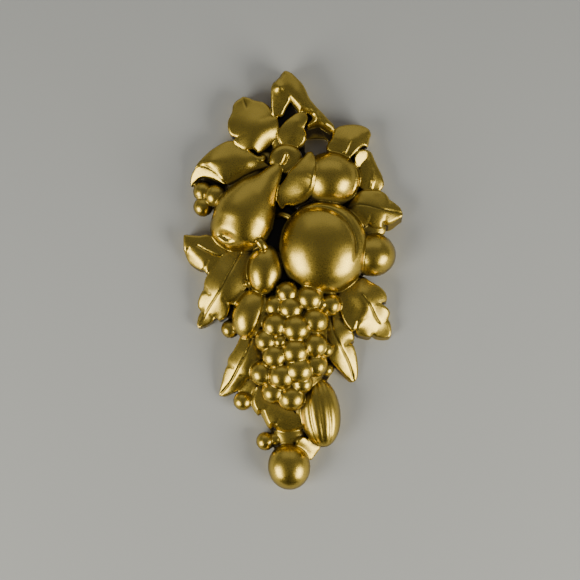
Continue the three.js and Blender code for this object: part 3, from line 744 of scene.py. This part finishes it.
def leaf(name, sheet_points=None, steps=170, half_across=34, **shape):
    """Builds a leaf: the blade from rim to rim, then the edge and the drafted side below it."""
    given = {**LEAF, **shape}
    rib = respaced(smooth_line(given["rib"], 100), steps)
    rims = [point for side in ("left", "right") for lobe in given[side] for point in lobe]
    rise_at = sheet_through(sheet_points or [*given["rib"], *given["sheet"], *rims], given["limp"])
    share = np.linspace(0, 1, half_across + 1) ** SPREAD
    blade = np.empty((steps, 2 * half_across + 1, 3))
    sides = {}
    for side, sign in (("left", -1), ("right", 1)):
        rim, nicks = rim_of(given["rib"][0], given[side], given["rib"][-1], steps)
        place = rib[:, None, :2] + (rim[:, :2] - rib[:, :2])[:, None] * share[:, None]
        from_rib, at_rib = nearest_on(rib, place)
        from_rim, at_rim = nearest_on(rim, place)
        rise = rise_at(place)
        groove = given["crease"] * between(at_rib, *given["crease_span"], CREASE_FADE)
        rise -= groove * np.exp(-((from_rib / given["crease_width"]) ** 2))
        rise -= given["edge_roll"] * np.clip(1 - from_rim / given["edge_width"], 0, 1) ** 2
        for which, first, last, depth, reach in given["rolls"]:
            if which == side:
                roll = depth * between(at_rim, first, last, ROLL_FADE)
                rise -= roll * np.clip(1 - from_rim / reach, 0, 1) ** ROLL_SHAPE
        for nick in nicks:
            towards = rib[np.linalg.norm(rib[:, :2] - nick[:2], axis=1).argmin(), :2]
            inner = np.array(nick[:2]) + (towards - nick[:2]) * NICK["reach"]
            at_nick = np.linalg.norm(place - nick[:2], axis=-1)
            rise -= given["nick"] * NICK["depth"] * np.exp(-((at_nick / NICK["width"]) ** 2))
            off_valley = to_segment(place, nick, inner) / NICK["valley_width"]
            rise -= given["nick"] * NICK["valley"] * np.exp(-(off_valley**2))
        for start, end, height, reach in given["ridges"]:
            rise += height * np.exp(-((to_segment(place, start, end) / reach) ** 2))
        half = slice(half_across, None) if sign > 0 else slice(half_across, None, -1)
        blade[:, half, 0], blade[:, half, 1], blade[:, half, 2] = place[..., 0], rise, place[..., 1]
        along = np.gradient(rim[:, :2], axis=0)
        along /= np.linalg.norm(along, axis=1)[:, None] + 1e-9
        outward = sign * np.stack([along[:, 1], -along[:, 0]], -1)
        down = np.maximum(0, -outward[:, 1])
        sides[side] = outward * (given["draft"] * down - given["undercut"] * (1 - down))[:, None]
    if given["crease"] > 0:
        span = given["crease_span"]
        first, last = max(span[0], MIDRIB_SPAN[0]), min(span[1], MIDRIB_SPAN[1])
        midribs.append(blade[int(first * steps):int(last * steps), half_across])
    edge = blade[:, [-1, 0]].copy()
    edge[..., 1] -= LEAF_EDGE
    foot = edge.copy()
    foot[:, 0, [0, 2]] += sides["right"]
    foot[:, 1, [0, 2]] += sides["left"]
    foot[..., 1] = -PAST_WALL
    skin(name, np.concatenate([blade, edge[:, :1], foot, edge[:, 1:]], axis=1))


for name, shape in BRANCH.items():
    leaf(name, BRANCH_SHEET, **shape, **CUT_WOOD)
for name, shape in LEAVES.items():
    leaf(name, **shape)


# ---------------------------------------------------------------------------------------------
# The moulding itself, in resin: all of those forms run together in one piece, with small fillets
# in the creases and soft edges, and cut flat at the back. It is painted a satin gold all over.
# Painted shade turns the gold brown and duller deep in the creases, in the pockets near the wall
# and along the midribs.
VOXEL = 0.45
SOFTENING, SOFTENING_STEPS = 0.5, 3
TRIANGLES = 180_000
INSET = 0.00001  # metres, inside the solid's box
BACK_SKIN, FACES_WALL = 0.4, 0.98  # how the flat back is told from the rest
SHARP_ANGLE = 70
RAYS, RAY_START, RAY_REACH = 60, 0.3, 14.0
INTO_WALL = 0.3  # rays that point more towards the wall than this are left out
# The midribs get painted shade within this width of them.
VEIN_WIDTH, VEIN_CORE = 1.0, 0.3  # the core is the share with the full colour


def settle(form):
    """Makes a form's modifiers part of its mesh."""
    graph = bpy.context.evaluated_depsgraph_get()
    mesh = bpy.data.meshes.new_from_object(form.evaluated_get(graph))
    form.modifiers.clear()
    form.data = mesh
    return mesh


gathered = bmesh.new()
graph = bpy.context.evaluated_depsgraph_get()
for form in forms:
    solid = bpy.data.meshes.new_from_object(form.evaluated_get(graph))
    gathered.from_mesh(solid)
    bpy.data.meshes.remove(solid)
for form in forms:
    bpy.data.objects.remove(form)
raw = bpy.data.meshes.new("fruit_relief_raw")
gathered.to_mesh(raw)
gathered.free()
plaque = bpy.data.objects.new("gold_fruit_relief", raw)
bpy.context.collection.objects.link(plaque)

room_mesh = bpy.data.meshes.new("room")
maker = bmesh.new()
bmesh.ops.create_cube(maker, size=1.0)
for corner in maker.verts:
    for axis in range(3):
        corner.co[axis] = cad_box[0][axis] + INSET if corner.co[axis] < 0 else cad_box[1][axis] - INSET
maker.to_mesh(room_mesh)
maker.free()
room = bpy.data.objects.new("room", room_mesh)
bpy.context.collection.objects.link(room)

join = plaque.modifiers.new("join", "REMESH")
join.mode = "VOXEL"
join.voxel_size = VOXEL * MM
soften = plaque.modifiers.new("soften", "SMOOTH")
soften.factor, soften.iterations = SOFTENING, SOFTENING_STEPS
flatten = plaque.modifiers.new("flatten", "BOOLEAN")
flatten.operation = "INTERSECT"
flatten.solver = "MANIFOLD"
flatten.object = room
fine = settle(plaque)
fine.calc_loop_triangles()
bpy.data.objects.remove(room)
thin = plaque.modifiers.new("thin", "DECIMATE")
thin.ratio = min(1.0, TRIANGLES / len(fine.loop_triangles))
finished = settle(plaque)
finished.shade_smooth()
finished.set_sharp_from_angle(angle=math.radians(SHARP_ANGLE))
for face in finished.polygons:
    if face.normal.y > FACES_WALL and face.center.y > -BACK_SKIN * MM:
        face.use_smooth = False

midrib_mesh = bpy.data.meshes.new("midribs")
corners = np.vstack(midribs) * (1, -1, 1) * MM
line_starts = np.cumsum([len(line) for line in midribs])
spans = [(k - 1, k) for k in range(1, len(corners)) if k not in line_starts]
midrib_mesh.from_pydata(corners.tolist(), spans, [])
midrib_lines = bpy.data.objects.new("midribs", midrib_mesh)
bpy.context.collection.objects.link(midrib_lines)


def mark_recesses(form, lines):
    """Keeps on each point how shut in it is, the share of rays off its face that meet the plaque,
    and how near it is to a midrib."""
    tree, start, reach = begin_tree("recesses", "Reach", "NodeSocketFloat")
    add, link = tree.nodes.new, tree.links.new
    place, normal = (add("GeometryNodeInput" + what).outputs[0] for what in ("Position", "Normal"))

    def vectors(operation, first, second):
        return combine(tree, operation, first, second, "ShaderNodeVectorMath").outputs

    def values(operation, first, second):
        return combine(tree, operation, first, second).outputs["Value"]

    lift = vectors("MULTIPLY", normal, (RAY_START * MM,) * 3)["Vector"]
    source = vectors("ADD", place, lift)["Vector"]
    met, cast = 0.0, 0.0
    for k in range(RAYS):
        ahead = 1 - 2 * (k + 0.5) / RAYS
        if ahead > INTO_WALL:
            continue
        flat, turn = math.sqrt(1 - ahead**2), k * math.pi * (3 - math.sqrt(5))
        ray = (flat * math.cos(turn), ahead, flat * math.sin(turn))
        probe = add("GeometryNodeRaycast")
        link(start["Geometry"], probe.inputs["Target Geometry"])
        link(source, probe.inputs["Source Position"])
        link(start["Reach"], probe.inputs["Ray Length"])
        probe.inputs["Ray Direction"].default_value = ray
        weight = values("MAXIMUM", vectors("DOT_PRODUCT", normal, ray)["Value"], 0.0)
        met = values("ADD", met, values("MULTIPLY", probe.outputs["Is Hit"], weight))
        cast = values("ADD", cast, weight)
    share = values("DIVIDE", met, values("MAXIMUM", cast, 0.001))
    parts = add("ShaderNodeSeparateXYZ")
    link(place, parts.inputs["Vector"])
    share = values("MULTIPLY", share, values("LESS_THAN", parts.outputs["Y"], -BACK_SKIN * MM))
    ribs, nearness = add("GeometryNodeObjectInfo"), add("GeometryNodeProximity")
    ribs.inputs["Object"].default_value = lines
    nearness.target_element = "EDGES"
    link(ribs.outputs["Geometry"], nearness.inputs[0])
    # Nearness to a midrib, kept as the mask of the painted shade along it.
    midrib_shade = map_range(tree, nearness.outputs["Distance"], VEIN_WIDTH * MM, VEIN_CORE * VEIN_WIDTH * MM)
    made = start["Geometry"]
    for name, value in (("recess", share), ("midrib_shade", midrib_shade)):
        keep = add("GeometryNodeStoreNamedAttribute")
        keep.data_type, keep.domain = "FLOAT", "POINT"
        keep.inputs["Name"].default_value = name
        link(made, keep.inputs["Geometry"])
        link(value, keep.inputs["Value"])
        made = keep.outputs["Geometry"]
    finish_tree(tree, made, form, reach, RAY_REACH * MM)


# How shut in each point is and how near it is to a midrib become the masks of the painted shade in the paint.
mark_recesses(plaque, midrib_lines)
finished = settle(plaque)
bpy.data.objects.remove(midrib_lines)

# The paint: satin gold, mixed towards a dark brown painted shade and made less metallic where the plaque is
# shut in, in its creases and in the pockets near the wall, and along the midribs.
GOLD = (0.60, 0.432, 0.084, 1)
PAINTED_SHADE = (0.05, 0.036, 0.014, 1)
GRAZING = (0.4, 0.5, 0.8, 1)  # dulls the edges seen at a slant
CREASE_SHADE = (0.2, 0.62)  # how shut in, from clean paint to full painted shade
POCKET_SHADE, POCKET_PLACE = (0.2, 0.45), (-12, -8)  # the same painted shade near the wall, and where that is
VEIN_SHADE = 0.6
METAL_OF_PAINT, METAL_OF_SHADE = 1.0, 0.3
SHEEN_SPAN, SHEEN = (0.3, 0.7), (0.24, 0.36)
SPECKS = dict(scale=1600, detail=2), dict(strength=0.25, distance=0.05)
WAVES = dict(scale=90, detail=1), dict(strength=0.5, distance=0.6)
gold.use_nodes = True
tree = gold.node_tree
add, link = tree.nodes.new, tree.links.new
paint = tree.nodes["Principled BSDF"]
where = add("ShaderNodeTexCoord").outputs["Object"]


def attribute(name):
    """What the mesh keeps on its points under a name."""
    node = add("ShaderNodeAttribute")
    node.attribute_name = name
    return node.outputs["Fac"]


def noise(scale, detail):
    """Random specks over the plaque."""
    node = add("ShaderNodeTexNoise")
    node.inputs["Scale"].default_value, node.inputs["Detail"].default_value = scale, detail
    link(where, node.inputs["Vector"])
    return node.outputs["Fac"]


def bump(height, strength, distance):
    """A node that roughens the face of the paint."""
    node = add("ShaderNodeBump")
    node.inputs["Strength"].default_value, node.inputs["Distance"].default_value = strength, distance * MM
    link(height, node.inputs["Height"])
    return node


place = add("ShaderNodeSeparateXYZ")
link(where, place.inputs["Vector"])
shut_in = attribute("recess")
# Painted shade: the larger of the crease mask, the pocket mask near the wall and the midrib mask mixes the
# gold towards the dark brown, and the crease and pocket masks take away some of the metal.
low = map_range(tree, place.outputs["Y"], POCKET_PLACE[0] * MM, POCKET_PLACE[1] * MM)
pocket_shade = combine(tree, "MULTIPLY", map_range(tree, shut_in, *POCKET_SHADE), low).outputs["Value"]
shade_mask = combine(tree, "MAXIMUM", map_range(tree, shut_in, *CREASE_SHADE), pocket_shade).outputs["Value"]
midrib_shade = combine(tree, "MULTIPLY", attribute("midrib_shade"), VEIN_SHADE).outputs["Value"]
tint = add("ShaderNodeMix")
tint.data_type = "RGBA"
tint.inputs["A"].default_value, tint.inputs["B"].default_value = GOLD, PAINTED_SHADE
link(combine(tree, "MAXIMUM", shade_mask, midrib_shade).outputs["Value"], tint.inputs["Factor"])
link(tint.outputs["Result"], paint.inputs["Base Color"])
link(map_range(tree, shade_mask, 0.0, 1.0, METAL_OF_PAINT, METAL_OF_SHADE), paint.inputs["Metallic"])
paint.inputs["Specular Tint"].default_value = GRAZING
specks, waves = noise(**SPECKS[0]), noise(**WAVES[0])
link(map_range(tree, specks, *SHEEN_SPAN, *SHEEN), paint.inputs["Roughness"])
swell, grain = bump(waves, **WAVES[1]), bump(specks, **SPECKS[1])
link(swell.outputs["Normal"], grain.inputs["Normal"])
link(grain.outputs["Normal"], paint.inputs["Normal"])
finished.materials.clear()
finished.materials.append(gold)

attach(plaque, "root")
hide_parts("fruit_relief")
